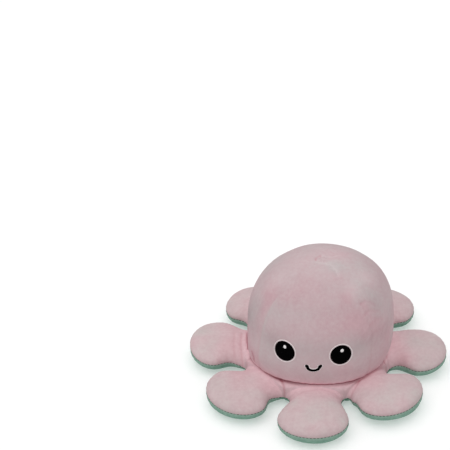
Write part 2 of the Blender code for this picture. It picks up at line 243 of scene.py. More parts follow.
# short-pile velour: the nap is brushed into ragged patches, rosy where it leans one way and greyer
# the other; a painted glow lightens it by one mark, painted shade in folds, seams and creases
# deepens it by another, its painted shade attribute darkens it (and lightens it, as painted light,
# where below zero), and the pile itself is a fine bumpy grain
def makeVelour(name, look):
    material, tree, shader = newMaterial(name)
    place = objectPlace(tree)
    brushed = noise(tree, place, look["patchScale"], 3, 0.55, 0.6)
    stretched = addNode(tree, "ShaderNodeMapping", {"Scale": look["strokeStretch"]}, {"Vector": place})
    strokes = noise(tree, stretched.outputs["Vector"], look["strokeScale"], 5, 0.65)
    grain = noise(tree, place, look["grainScale"], 2, 0.6)
    shares = look["patchShare"], look["strokeShare"], look["grainShare"]
    lean = maths(tree, "SUBTRACT", mark(tree, "nap"), sum(shares) / 2)
    for texture, share in zip((brushed, strokes, grain), shares):
        lean = maths(tree, "MULTIPLY_ADD", texture, share, lean)
    tone = mixColour(tree, remap(tree, lean, *look["deepFrom"]), look["base"], look["deep"])
    tone = mixColour(tree, remap(tree, lean, *look["lightFrom"]), tone, look["light"])
    for layer in ("glow", "fold"):
        tone = mixColour(tree, mark(tree, layer), tone, look[layer])
    fleck = noise(tree, place, look["pileScale"], 2, 0.7)
    tone = mixColour(tree, remap(tree, fleck, 0.3, 0.7, 0, look["fleckShare"]), tone, look["deep"])
    speck = maths(tree, "ADD", grain, strokes)
    speck = maths(tree, "MULTIPLY_ADD", speck, look["speck"], 1 - look["speck"])
    light = maths(tree, "SUBTRACT", speck, mark(tree, "shade"))
    shaded = addNode(tree, "ShaderNodeVectorMath", None, {"Vector": tone, "Scale": light}, operation="SCALE")
    tree.links.new(shaded.outputs["Vector"], shader.inputs["Base Color"])
    pile = noise(tree, place, look["pileScale"] * 0.8, 3, 0.65)
    rough = addNode(tree, "ShaderNodeBump", {"Strength": look["pileBump"], "Distance": 0.4 * mm},
                    {"Height": pile})
    dents = noise(tree, place, look["dentScale"], 3, 0.5)
    soft = addNode(tree, "ShaderNodeBump", {"Strength": look["dentBump"], "Distance": 2 * mm},
                   {"Height": dents, "Normal": rough.outputs["Normal"]})
    tree.links.new(soft.outputs["Normal"], shader.inputs["Normal"])
    setSockets(shader, Roughness=look["roughness"], Specular_IOR_Level=0.2, Sheen_Weight=look["sheen"],
               Sheen_Roughness=0.45, Sheen_Tint=(*look["sheenTint"], 1))
    return material


# satin-stitched thread: fine ridges side by side, a little uneven, with a dull gloss
def makeThread(name, look):
    material, tree, shader = newMaterial(name)
    place = objectPlace(tree)
    turned = addNode(tree, "ShaderNodeMapping", {"Rotation": (0, look["lean"], 0)}, {"Vector": place})
    rows = addNode(tree, "ShaderNodeTexWave", {
        "Scale": look["threadScale"], "Distortion": 1.2, "Detail": 2, "Detail Scale": 3,
    }, {"Vector": turned.outputs["Vector"]}, bands_direction="X")
    tone = mixColour(tree, rows.outputs["Fac"], look["dark"], look["light"])
    tree.links.new(tone, shader.inputs["Base Color"])
    ridge = addNode(tree, "ShaderNodeBump", {"Strength": 0.5, "Distance": 0.15 * mm},
                    {"Height": rows.outputs["Fac"]})
    tree.links.new(ridge.outputs["Normal"], shader.inputs["Normal"])
    setSockets(shader, Roughness=look["roughness"], Specular_IOR_Level=look["gloss"])
    return material


pinkLook = {
    "base": colour(196, 175, 177), "deep": colour(200, 166, 171), "light": colour(189, 180, 178),
    # the glow colour is a painted light, and the fold colour is a painted shade
    "glow": colour(233, 203, 209), "fold": colour(168, 88, 101),
    # how far the nap has to lean for the deep colour and for the light one: where each starts and is full
    "deepFrom": (0.2, -1.2), "lightFrom": (-0.2, 1.2),
    "patchScale": 45, "patchShare": 1.3, "strokeScale": 130, "strokeShare": 1.0, "strokeStretch": (1, 1, 0.5),
    "grainScale": 420, "grainShare": 1.2, "fleckShare": 0.25, "speck": 0.2,
    "pileScale": 1500, "pileBump": 0.4, "dentScale": 140, "dentBump": 0.14, "roughness": 0.95,
    "sheen": 0.03, "sheenTint": colour(255, 240, 242),
}
# the head's velour is the same pink cloth, painted a little darker as shade on the head
shadedHeadLook = dict(pinkLook, base=colour(192, 171, 174), deep=colour(196, 162, 168), light=colour(186, 177, 177),
                speck=0.15)
greenLook = dict(
    pinkLook, base=colour(118, 154, 138), deep=colour(98, 138, 120), light=colour(150, 174, 162),
    # the green cloth's painted glow colour and painted fold shade colour
    glow=colour(172, 188, 177), fold=colour(52, 98, 80), sheenTint=colour(225, 245, 236),
)
blackLook = {"dark": colour(0, 0, 0), "light": colour(4, 4, 5), "roughness": 0.9, "gloss": 0.02,
             "threadScale": 900, "lean": 0.5}
whiteLook = dict(blackLook, dark=colour(222, 218, 218), light=colour(250, 248, 248), roughness=0.5, gloss=0.4)
paleLook = dict(blackLook, dark=colour(216, 204, 204), light=colour(238, 230, 230), roughness=0.7, gloss=0.2)
seamLook = dict(paleLook, dark=colour(44, 66, 56), light=colour(72, 100, 87), threadScale=700, lean=0.8)

shadedHeadVelour = makeVelour("pink velour of the head painted darker as shade", shadedHeadLook)
pinkVelour = makeVelour("pink velour", pinkLook)
greenVelour = makeVelour("green velour", greenLook)
blackThread = makeThread("black satin stitch", blackLook)
whiteThread = makeThread("white satin stitch", whiteLook)
paleThread = makeThread("pile brushed up by stitching", paleLook)
seamThread = makeThread("seam thread", seamLook)
print("materials made")


# The head: a dome of four gores, a little off the middle and leaning to the right

head = {
    "radius": 55.1, "middle": 41.9, "rise": 51.8, "drop": 40.7, "crownPower": 2.34, "basePower": 3.14,
    "shift": 1.5, "lean": 4.5, "leanSpan": 74, "rows": 150, "columns": 288, "wall": 1.4,
    "tuckHeight": 18.6, "tuckIn": 4.5, "tuckDown": 3.0, "tuckRows": 8,
    "seamWidth": 1.0, "seamDepth": 0.3, "seamFade": (62, 84), "goreSag": 0.4, "sagWidth": 9,
    "lumpSize": 58, "lumpHeight": 0.55, "gatherLength": 9, "gatherDepth": 0.1, "gatherRise": 7,
    "pleats": 6, "pleatHeight": 0.3, "apexDip": 0.4, "apexWidth": 4,
    # seams beside the face, as height and azimuth, and the azimuths of the two behind
    "leftSeam": [(16, -51), (40, -49.5), (60, -49.3), (80, -47.4), (94, -46)],
    "rightSeam": [(16, 43), (37, 43.4), (58, 44.6), (71, 41), (82, 39.2), (91, 34), (94, 33)],
    "backSeams": (131, -139),
    # how far the foot stands out at an azimuth, up to a height above the tuck
    "cornerTop": 40,
    "cornersOut": [
        (-180, 0), (-135, 1.5), (-104, 1), (-88, -0.8), (-76, 0.4), (-64, 2.7), (-48, 2.5), (-30, 1.4),
        (0, 0.2), (25, 1.2), (42, 2.6), (60, 2.6), (90, 0.8), (135, 1.5), (180, 0),
    ],
    # the nap changes its lean at the seams: over the crown, and by a step with a light line at the left,
    # where the nap leans greyer and a painted highlight lightens it
    "crownTone": 0.5, "stepFrom": 24, "stepTo": 74, "stepFade": 8, "seamStep": 0.6, "seamLight": 0.5,
    # where the nap leans: azimuth, height, size and how far to the greyer side, or to the rosy one
    "patches": [
        (50, 93, 7, 1.0), (68, 90, 14, 0.6), (48, 85, 10, 0.7), (56, 80, 9, 0.4), (-91, 87, 14, 0.3),
        (-67, 65, 12, 0.5), (-12, 65, 11, -0.15), (0, 75, 11, -0.35), (30, 82, 5, -0.5), (-14, 54, 10, 0.8),
        (-38, 73, 7, 0.35), (76, 60, 6, 0.5), (-45, 50, 12, 0.4), (27, 70, 8, -0.7), (62, 26, 8, -0.8),
        (-58, 26, 8, -0.8), (66, 42, 8, -0.9), (-54, 93, 13, 0.1), (-45, 89, 12, -0.1), (24, 91, 7, -0.4),
        (-70, 38, 7, -1.2), (-58, 78, 9, -0.8), (22, 80, 10, -0.5), (44, 76, 5, -0.8), (40, 69, 9, -0.6),
        (51, 55, 9, -0.3), (48, 44, 10, -0.5), (-55, 46, 10, -0.1), (-5, 36, 12, 0.3), (-22, 42, 10, 0.4),
        (16, 61, 12, 0.2), (-130, 60, 22, 0.5), (150, 70, 20, -0.5), (120, 45, 18, 0.4), (-54, 70, 5, -0.5),
        (180, 88, 14, 0.5), (-120, 84, 14, 0.6), (125, 84, 14, 0.8), (-160, 35, 18, -0.5),
    ],
    # painted shade at a height, and then at an azimuth and height, over a size; below zero it is painted
    # light
    "shadeLine": [
        (18, -0.17), (30, -0.06), (38, -0.07), (44, -0.04), (50, 0.02), (61, 0), (72, 0.035), (78, 0.06),
        (84, 0.055), (89, 0.03), (94, -0.05),
    ],
    "shades": [
        (-80, 48, 17, 0.2), (-66, 86, 10, -0.08), (-62, 66, 9, 0.08), (66, 86, 9, -0.12), (58, 70, 9, 0.05),
        (38, 85, 7, -0.12), (66, 40, 10, 0.04), (-34, 50, 10, 0.09), (50, 45, 12, 0.08), (30, 50, 9, 0.06),
    ],
    # how dark the painted shade in the crease below the head is, at an azimuth
    "creaseShadeLine": [
        (-180, 0.4), (-100, 0.5), (-85, 0.9), (-66, 0.9), (-60, 0.5), (-45, 0.6), (-29, 1.2), (-18, 0.75),
        (-8, 0.4), (12, 0.3), (24, 0.6), (36, 0.85), (48, 0.9), (60, 0.55), (68, 0.35), (90, 0.3), (180, 0.4),
    ],
    # fine wrinkles: azimuth and height of their middle, size, depth, distance apart and slant
    "wrinkles": [(50, 60, 20, 0.16, 7.5, 0.7), (-64, 42, 12, 0.13, 4.5, 1.5)],
    # small folds: a line of azimuths and heights, depth, width, the nap's lean there, its painted fold shade
    # and its painted highlight
    "creases": [
        ([(-63, 93.6), (13, 93.6), (39, 93.4), (37, 92.6), (32, 91.2)], 0.7, 1.7, 0.3, 0, 0.07),
        ([(237, 93.6), (129, 93.6), (119, 93.1)], 0.5, 0.9, 0.6, 0, 0.09),
        ([(-81, 93.6), (-157, 93.6)], 0.6, 0.8, -0.8, 0.25, 0),
        ([(40, 77), (45, 77.5), (50, 76), (55, 72)], 0.3, 1.1, -0.2, 0.1, 0),
        ([(40, 70), (46, 71), (52, 69.5), (58, 67)], 0.3, 1.1, -0.2, 0.1, 0),
        ([(-58.5, 30), (-56.5, 26), (-57.5, 22)], 0.5, 0.9, -0.8, 0.65, -0.05),
        ([(44, 62), (50, 63), (56, 61.5), (61, 59)], 0.25, 1.1, -0.2, 0.09, 0),
    ],
}


# radius and height of the dome at a turn: 0 at the top, a quarter at the widest, up to a half below.
# radius = R sin^(2/p), height = middle + rise cos^(2/p), with its own rise and p above and below
def domeProfile(turn):
    above = turn <= tau / 4
    share = np.where(above, 2 / head["crownPower"], 2 / head["basePower"])
    radius = head["radius"] * np.clip(np.sin(turn), 0, 1) ** share
    reach = np.where(above, head["rise"], -head["drop"])
    return radius, head["middle"] + reach * np.abs(np.cos(turn)) ** share


# the turn at which the dome has a height, by the same formula backwards
def domeTurn(height):
    above = height > head["middle"]
    share = np.abs(height - head["middle"]) / np.where(above, head["rise"], head["drop"])
    power = np.where(above, head["crownPower"], head["basePower"])
    quarter = np.arcsin(np.clip(share, 0, 1) ** (power / 2))
    return np.where(above, tau / 4 - quarter, tau / 4 + quarter)


# how far round from the nearest gore seam, in mm, at an azimuth from the front and a height
def seamDistance(azimuth, height, radius):
    seams = [np.radians(through(height, head[side])) for side in ("leftSeam", "rightSeam")]
    seams += [math.radians(turn) for turn in head["backSeams"]]
    nearest = np.full_like(height, 1e3)
    for seam in seams:
        away = (azimuth - seam + math.pi) % tau - math.pi
        nearest = np.minimum(nearest, np.abs(away) * np.maximum(radius, 0.5))
    return nearest


# places on the plain dome at azimuths in degrees and heights, kept just off its pole
def onDome(azimuth, height):
    top = head["middle"] + head["rise"] - 0.01
    return spotAt(np.radians(azimuth), *domeProfile(domeTurn(np.minimum(height, top))))


# distance in space from points to a smooth line through knots of azimuth and height on the plain dome
def domeLineDistance(points, knots):
    nearest = np.full(points.shape[:-1], 1e3)
    for spot in onDome(*smoothLine(knots, 40)):
        nearest = np.minimum(nearest, np.linalg.norm(points - spot, axis=-1))
    return nearest


# a bell round a spot on the plain dome
def nearSpot(points, azimuth, height, size):
    return bell(np.linalg.norm(points - onDome(azimuth, height), axis=-1), size)


# the pile covers the seams near the top
def seamShown(height):
    low, high = head["seamFade"]
    return 1 - 0.85 * ease((height - low) / (high - low))


# depth of the small folds, as bells across their lines, and of the fine wrinkles, as sine waves that
# slant and fade out round their middle
def foldDepth(azimuth, height, base):
    depth = 0
    for line, deep, width, *_ in head["creases"]:
        depth = depth + deep * bell(domeLineDistance(base, line), width)
    for middle, level, size, deep, apart, slant in head["wrinkles"]:
        across = height * math.cos(slant) - azimuth * head["radius"] * math.sin(slant)
        across = across + 1.5 * lumps(base, 22, 9)
        depth = depth + deep * nearSpot(base, middle, level, size) * np.sin(across * tau / apart)
    return depth


# a point of the head's skin at an azimuth and a turn, lifted off it: the dome, drawn in along its
# seams, with lumps, corners at its foot, gathers above the tuck, pleats at the top, and the lean;
# what is sewn on the skin leaves its small folds out
def headPoint(azimuth, turn, lift, folded=False):
    radius, height = domeProfile(turn)
    step = 1e-3
    ahead, above = domeProfile(np.clip(turn - step, 0, math.pi))
    behind, below = domeProfile(np.clip(turn + step, 0, math.pi))
    out, up = np.moveaxis(unit(np.stack([above - below, behind - ahead], -1)), -1, 0)
    base = spotAt(azimuth, radius, height)
    fromTuck = height - head["tuckHeight"]
    away = seamDistance(azimuth, height, radius)
    raised = head["lumpHeight"] * lumps(base, head["lumpSize"], 3)
    raised = raised - head["seamDepth"] * seamShown(height) * bell(away, head["seamWidth"])
    raised = raised - head["goreSag"] * bell(away, head["sagWidth"])
    corners = 1 - ease(fromTuck / head["cornerTop"])
    raised = raised + corners * through(np.degrees(azimuth), head["cornersOut"])
    wobble = azimuth * head["radius"] / head["gatherLength"] + 1.1 * np.sin(3 * azimuth)
    gathers = np.sin(wobble * tau) * np.exp(-np.abs(fromTuck) / head["gatherRise"])
    raised = raised + head["gatherDepth"] * gathers
    pleats = np.exp(-radius / 6) * np.minimum(radius / 2, 1) * np.cos(head["pleats"] * azimuth + 0.6)
    raised = raised + head["pleatHeight"] * pleats - head["apexDip"] * bell(radius, head["apexWidth"])
    if folded:
        raised = raised - foldDepth(azimuth, height, base)
    far = lift + raised
    placed = spotAt(azimuth, radius + out * far, height + up * far)
    placed[..., 0] += head["shift"] + head["lean"] * fromTuck / head["leanSpan"]
    return placed


# the painted shade of the crease at the head's foot, at an azimuth
def creaseShade(azimuth):
    return through(np.degrees(azimuth), head["creaseShadeLine"])


# how the head's cloth looks: the nap leans in lumps, along the seams and in patches; painted fold shade
# is in seams, folds and the crease at the foot; a painted glow lightens it by that crease, and painted shade
# darkens it by its lines
def headLooks(azimuth, turn):
    radius, height = domeProfile(turn)
    base = spotAt(azimuth, radius, height)
    away = seamDistance(azimuth, height, radius)
    fromTuck = np.maximum(height - head["tuckHeight"], 0)
    fromLeft = (azimuth - np.radians(through(height, head["leftSeam"]))) * radius
    shown = ease((height - head["stepFrom"]) / head["stepFade"])
    shown = shown * (1 - ease((height - head["stepTo"]) / head["stepFade"]))
    # the left seam's light line: greyer nap and a painted highlight
    napAndHighlightLine = shown * bell(fromLeft - 0.2, 0.8)
    crown = (bell(away, 2) - 0.3) * ease((height - 30) / 30) * seamShown(height)
    nap = 0.3 * lumps(base, 30, 5) + head["crownTone"] * crown + head["seamLight"] * napAndHighlightLine
    nap = nap + head["seamStep"] * shown * np.tanh(fromLeft / 0.8) * np.exp(-np.abs(fromLeft) / 5)
    for *spot, amount in head["patches"]:
        nap = nap + amount * nearSpot(base, *spot)
    # painted shade by height and by patches, painted light where below zero, and a painted highlight on the
    # left seam's light line
    shade = through(height, head["shadeLine"]) - 0.05 * napAndHighlightLine
    for *spot, amount in head["shades"]:
        shade = shade + amount * nearSpot(base, *spot)
    fold = 0.12 * seamShown(height) * bell(away, 1.2) + 0.5 * creaseShade(azimuth) * np.exp(-fromTuck / 0.5)
    for line, _, width, lean, tone, light in head["creases"]:
        near = bell(domeLineDistance(base, line), width)
        nap = nap + lean * near
        fold = fold + tone * near
        # a painted highlight along the fold, by its last number
        shade = shade - light * near
    # a painted glow: lighter near the crease at the head's foot
    glow = 0.7 * np.exp(-fromTuck / 3) + 0.3 * np.exp(-fromTuck / 9)
    return {"fold": np.clip(fold, 0, 1), "glow": glow, "nap": nap, "shade": shade}


# the dome's rows, and then those that run in under it, along a quarter of an ellipse, to the seam
# with the skirt
def headGrid():
    azimuth = np.linspace(-math.pi, math.pi, head["columns"], endpoint=False)
    a, t = np.meshgrid(azimuth, np.linspace(0, float(domeTurn(head["tuckHeight"])), head["rows"]))
    grid = headPoint(a, t, 0, folded=True)
    share = np.linspace(0, 1, head["tuckRows"] + 1)[1:, None, None]
    inwards = head["tuckIn"] * (0.9 * (1 - np.cos(share * tau / 4)) + 0.1 * share)
    down = np.array([0, 0, head["tuckDown"]]) * np.sin(share * tau / 4)
    tuck = grid[-1] - unit(grid[-1] * (1, 1, 0)) * inwards - down
    marks = headLooks(a, t)
    # the rows under the dome are painted in full fold shade, which covers the painted glow, and darker by the
    # crease's painted shade
    for name, value in (("fold", 1), ("glow", 1), ("nap", 0), ("shade", 0.25 * creaseShade(azimuth))):
        rows = np.broadcast_to(value, (head["tuckRows"], head["columns"]))
        marks[name] = np.concatenate([marks[name], rows])
    return np.concatenate([grid, tuck]), marks


headPoints, headMarks = headGrid()
headSkin = addSurface("head_skin", headPoints, (0, 0, 50), ringed=True, marks=headMarks)
addWall(headSkin, head["wall"])
dress(headSkin, shadedHeadVelour, [
    "head_face_panel", "head_right_panel", "head_back_panel", "head_left_panel", "head_filling",
])
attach(headSkin, "body")
print("head made")


# The face: satin-stitched patches that follow the head's skin

face = {
    "turn": math.radians(-4.2), "patchRows": 15, "backRows": 5, "patchColumns": 72, "edgeSunk": 0.25,
    "eyes": {"left": {"at": (-20.6, 46.2), "long": 8.45, "short": 8.3, "tilt": 108},
             "right": {"at": (20.7, 46.4), "long": 8.75, "short": 7.75, "tilt": 117}},
    "innerEye": {"across": 20.5, "height": 46.7, "long": 8.5, "short": 7.0, "brow": 1.75, "slope": 0.55},
    "eyeRise": 0.55, "borderWidth": 0.7, "borderRise": 0.4, "sunk": 0.8, "browSoftness": 0.35,
    "shineAt": (0.3, 4.1), "innerShine": (0.6, 0.2), "shineSize": (1.3, 1.5), "shineRise": 0.9,
    "smileAcross": 1.6, "smileHalf": 4.7, "smileTop": 38.4, "smileDepth": 4.9, "smileSlope": 0.07,
    "strokeWidth": 2.35, "strokeRise": 0.45, "strokeSquare": 0.88, "strokeEnds": 0.88, "hook": 0.3,
    "haloWidth": 0.45, "haloRise": 0.2, "frownDrop": 5, "inside": (0, 0, 45),
}


# a place on the head from the face's middle: arc length across, height, and lift off the skin
def onHead(across, height, lift):
    turn = domeTurn(height)
    radius = domeProfile(turn)[0]
    return headPoint(face["turn"] + across / radius, turn, lift)


# a closed, low patch: rows of its front run from the middle to the edge, and rows of its back return
def patchGrid(edge, rise, surface, middle, sunk):
    angle = np.linspace(0, tau, face["patchColumns"], endpoint=False)
    share = np.concatenate([np.linspace(0, 1, face["patchRows"]), np.linspace(1, 0, face["backRows"])[1:]])
    a, s = np.meshgrid(angle, share)
    x, y = edge(a)
    front = np.arange(len(share))[:, None] < face["patchRows"]
    dome = (rise + face["edgeSunk"]) * np.sqrt(np.clip(1 - s**6, 0, 1)) - face["edgeSunk"]
    return surface(middle[0] + x * s, middle[1] + y * s, np.where(front, dome, -sunk))


# a closed cord along a closed edge: a flattened round section, half of it in the cloth
def borderGrid(edge, width, rise, surface, middle):
    angle = np.linspace(0, tau, 96, endpoint=False)
    section = np.linspace(0, tau, 12, endpoint=False)
    a, b = np.meshgrid(angle, section)
    x, y = edge(a, width / 2 + width / 2 * np.cos(b))
    return surface(middle[0] + x, middle[1] + y, rise * np.sin(b))


# an upright ellipse turned by a tilt, grown outwards
def ellipseEdge(long, short, tilt):
    def edge(angle, grow=0.0):
        x, y = (long + grow) * np.cos(angle), (short + grow) * np.sin(angle)
        return x * math.cos(tilt) - y * math.sin(tilt), x * math.sin(tilt) + y * math.cos(tilt)
    return edge


# the same, with its top cut by a brow that slants down to the middle of the face: the lower of the
# two heights, by a logarithm of exponentials that rounds the corner
def browEdge(long, short, side, level, slope):
    def edge(angle, grow=0.0):
        x, y = (long + grow) * np.cos(angle), (short + grow) * np.sin(angle)
        brow, soft = level + grow + slope * x, face["browSoftness"]
        return side * x, -soft * np.log(np.exp(-y / soft) + np.exp(-brow / soft))
    return edge


# an arc of thread: the lower half of a superellipse, thinned to rounded ends that hook outwards
def strokeGrid(half, depth, top, width, rise, surface, flip):
    b, s = np.meshgrid(np.linspace(0, tau, 12, endpoint=False), np.linspace(-1, 1, 60))
    turn = s * tau / 4 * 1.04
    fromEnd, square = np.abs(s) - face["strokeEnds"], face["strokeSquare"]
    thin = np.sqrt(1 - np.clip(fromEnd / (1 - face["strokeEnds"]), 0, 1) ** 2)
    wide = width / 2 * thin * (1 + 0.3 * bell(fromEnd, 0.1)) * np.cos(b)
    hook = face["hook"] * np.sign(s) * ease((np.abs(s) - 0.8) / 0.2)
    x = (half + wide) * signedPower(np.sin(turn), square) + hook
    y = (depth + wide) * signedPower(np.cos(turn), square)
    return surface(x, top - flip * y, rise * thin * np.sin(b))


def addThread(name, grid, thread, nodes):
    piece = addSurface(name, grid, face["inside"], ringed=True)
    dress(piece, thread, nodes)
    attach(piece, "body")


# an eye: its black disc, the cord round it, whose last row meets its first, and its highlight
def addEye(prefix, surface, edge, middle, shine, node):
    disc = patchGrid(edge, face["eyeRise"], surface, middle, face["sunk"])
    cord = borderGrid(edge, face["borderWidth"], face["borderRise"], surface, middle)
    cord = np.concatenate([cord, cord[:1]])
    spotMiddle = (middle[0] + shine[0], middle[1] + shine[1])
    spot = patchGrid(ellipseEdge(*face["shineSize"], 0), face["shineRise"], surface, spotMiddle, 0)
    addThread(prefix, disc, blackThread, [node])
    addThread(prefix + "_border", cord, paleThread, [node + "_border"])
    addThread(prefix + "_shine", spot, whiteThread, [node + "_highlight"])


def onSmile(x, height, lift):
    return onHead(x + face["smileAcross"], height + face["smileSlope"] * x, lift)


def addOuterFace():
    for word, eye in face["eyes"].items():
        edge = ellipseEdge(eye["long"], eye["short"], math.radians(eye["tilt"]))
        addEye(word + "_eye_patch", onHead, edge, eye["at"], face["shineAt"], word + "_eye")
    arc = face["smileHalf"], face["smileDepth"], face["smileTop"]
    stroke = strokeGrid(*arc, face["strokeWidth"], face["strokeRise"], onSmile, 1)
    addThread("smile_stroke", stroke, blackThread, ["smile"])
    halo = strokeGrid(*arc, face["strokeWidth"] + 2 * face["haloWidth"], face["haloRise"], onSmile, 1)
    addThread("smile_edge", halo, paleThread, [])


addOuterFace()
print("face made")


# The hollow of the head: four green gores, drawn in to the mouth

hollow = {
    "radius": 34.0, "middle": 42.0, "rise": 30.0, "mouthRadius": 27.0, "mouthHeight": 9.0, "crownPower": 2.34,
    "drawPower": 0.8, "rows": 90, "columns": 192, "seamTurn": -4, "seamWidth": 1.1, "seamDepth": 0.5,
    "goreSag": 0.6, "sagWidth": 7, "lumpSize": 40, "lumpHeight": 0.35, "edgeFade": 12, "wall": 1.4,
}


# radius and height of the lining, turn 0 at the top, a quarter at the widest and a half at the mouth:
# a dome above, and below it a cosine that draws the radius in to the mouth's
def hollowProfile(turn):
    above = turn <= tau / 4
    share = 2 / hollow["crownPower"]
    down = np.clip(turn / (tau / 4) - 1, 0, 1)
    flare = np.clip(np.cos(down * tau / 4), 0, 1) ** hollow["drawPower"]
    low = hollow["mouthRadius"] + (hollow["radius"] - hollow["mouthRadius"]) * flare
    radius = np.where(above, hollow["radius"] * np.clip(np.sin(turn), 0, 1) ** share, low)
    height = np.where(above, hollow["middle"] + hollow["rise"] * np.clip(np.cos(turn), 0, 1) ** share,
                      hollow["middle"] + (hollow["mouthHeight"] - hollow["middle"]) * down)
    return radius, height


# the turn at which the lining has a height, by the same formula backwards
def hollowTurn(height):
    share = np.clip((height - hollow["middle"]) / hollow["rise"], 0, 1)
    above = tau / 4 - np.arcsin(share ** (hollow["crownPower"] / 2))
    down = (hollow["middle"] - height) / (hollow["middle"] - hollow["mouthHeight"])
    return np.where(height > hollow["middle"], above, tau / 4 * (1 + down))


# how far round from the nearest of the lining's four seams, in mm
def hollowSeamDistance(azimuth, radius):
    away = np.abs((azimuth - math.radians(hollow["seamTurn"]) - tau / 8) % (tau / 4) - tau / 8)
    return (tau / 8 - away) * np.maximum(radius, 0.5)


# a point of the lining, lifted inwards off it: towards the middle above the widest ring, and
# straight in below it
def hollowPoint(azimuth, turn, lift):
    radius, height = hollowProfile(turn)
    base = spotAt(azimuth, radius, height)
    away = hollowSeamDistance(azimuth, radius)
    raised = hollow["lumpHeight"] * lumps(base, hollow["lumpSize"], 8)
    raised = raised - hollow["seamDepth"] * bell(away, hollow["seamWidth"])
    raised = raised - hollow["goreSag"] * bell(away, hollow["sagWidth"])
    raised = raised * ease((height - hollow["mouthHeight"]) / hollow["edgeFade"])
    inwards, up = lift - raised, height - hollow["middle"]
    shrink = np.where(up > 0, inwards / np.maximum(np.hypot(radius, up), 1), 0)
    sideways = np.where(up > 0, 0, inwards)
    return spotAt(azimuth, radius * (1 - shrink) - sideways, hollow["middle"] + up * (1 - shrink))


# the cloth's face looks into the hollow, so the grid is turned to face its own middle
def addLining():
    azimuth = np.linspace(-math.pi, math.pi, hollow["columns"], endpoint=False)
    a, t = np.meshgrid(azimuth, np.linspace(0, tau / 2, hollow["rows"]))
    grid = hollowPoint(a, t, 0.0)
    # painted shade along the lining's seams
    fold = 0.5 * bell(hollowSeamDistance(a, hollowProfile(t)[0]), 1.4)
    faces = gridFaces(grid, np.array([0, 0, hollow["middle"]]), True)[:, ::-1]
    piece = addMesh("lining_skin", grid.reshape(-1, 3), faces, {"fold": fold.reshape(-1)})
    addWall(piece, hollow["wall"])
    dress(piece, greenVelour, [
        "lining_face_panel", "lining_right_panel", "lining_back_panel", "lining_left_panel",
    ])
    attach(piece, "body")


# a place on the lining, where the drawing is at the hollow's scale
def onLining(across, height, lift):
    scale = hollow["radius"] / head["radius"]
    turn = hollowTurn(hollow["middle"] + (height - head["middle"]) * scale)
    return hollowPoint(face["turn"] + across * scale / hollowProfile(turn)[0], turn, lift)


def addInnerFace():
    eye, shine = face["innerEye"], face["innerShine"]
    for side, word in ((-1, "left"), (1, "right")):
        edge = browEdge(eye["long"], eye["short"], side, eye["brow"], eye["slope"])
        addEye("inner_" + word + "_eye_patch", onLining, edge, (side * eye["across"], eye["height"]),
               (shine[0] * side, shine[1]), "inner_" + word + "_eye")
    grid = strokeGrid(face["smileHalf"], face["smileDepth"], face["smileTop"] - face["frownDrop"],
                      face["strokeWidth"], face["strokeRise"], onLining, -1)
    addThread("inner_frown_stroke", grid, blackThread, ["inner_frown"])


addLining()
addInnerFace()
print("lining made")


# The ring of tentacles: eight sectors of pink cloth above, eight of green below, sewn round the rim

ring = {
    "count": 8, "innerReach": 44.0, "notchReach": 58.3, "waistAlong": 61.5, "across": 72, "wall": 1.3,
    "rimHeight": 11.0, "notchHeight": 7.0, "notchSpread": 17.0, "notchRound": 6.5,
    "valleyTop": (16.8, 2.7), "valleySole": (0.4, 1.1),  # each valley's height and its superellipse's power
    "pillow": 2.7, "swellShape": 2.3, "topTip": 0.8, "soleTip": 0.68, "solePower": 0.42,
    "neckPower": 0.62, "neckEnd": 62, "neckFade": 14, "rootPower": 0.75, "rootFade": 8,
    # height of a lobe's middle line, above and below, at a reach
    "topLine": [
        (44, 15.4), (49, 16.4), (52.5, 17.1), (55.5, 17.8), (58.5, 18.2), (63, 18.7), (69, 19.2), (76, 19.4),
    ],
    "soleLine": [(44, 0.2), (50, 0.2), (56, 0.8), (62, 0.3), (76, 0.15)],
    "lipReach": 38, "floorGap": 0.12, "lumpSize": 46, "lumpHeight": 0.5, "openFade": 5,
    "pinch": 0.6, "pinchFade": 1.3, "puckerLength": 4.7, "puckerDepth": 0.22, "puckerFade": 4.0,
    # distances from the middle: where the root bends, where a lobe turns to its own azimuth and where
    # its crown and its shade start; these three come in over one more distance
    "bend": (54.0, 72.0), "turnFrom": 58.5, "crownFrom": 58, "shadeFrom": 60, "lobeFade": 12,
    # the head's foot, the fade of the crease's painted shade, the reach of the painted glow, and rosy painted
    # shade near the head and the rim
    "headFoot": 52.3, "creaseFade": 0.8, "paintedGlowFrom": 52.5, "paintedGlowReach": 6, "shadeNearHead": 0.06, "rosyFrom": 54,
    "rosyReach": 20, "shadeNearRim": 0.12, "napHead": -0.8, "napTip": 0.2, "napReach": 34, "napPatches": 0.25,
    "stitchGap": 2.5, "stitchLength": 2.1, "stitchWidth": 0.6,
}
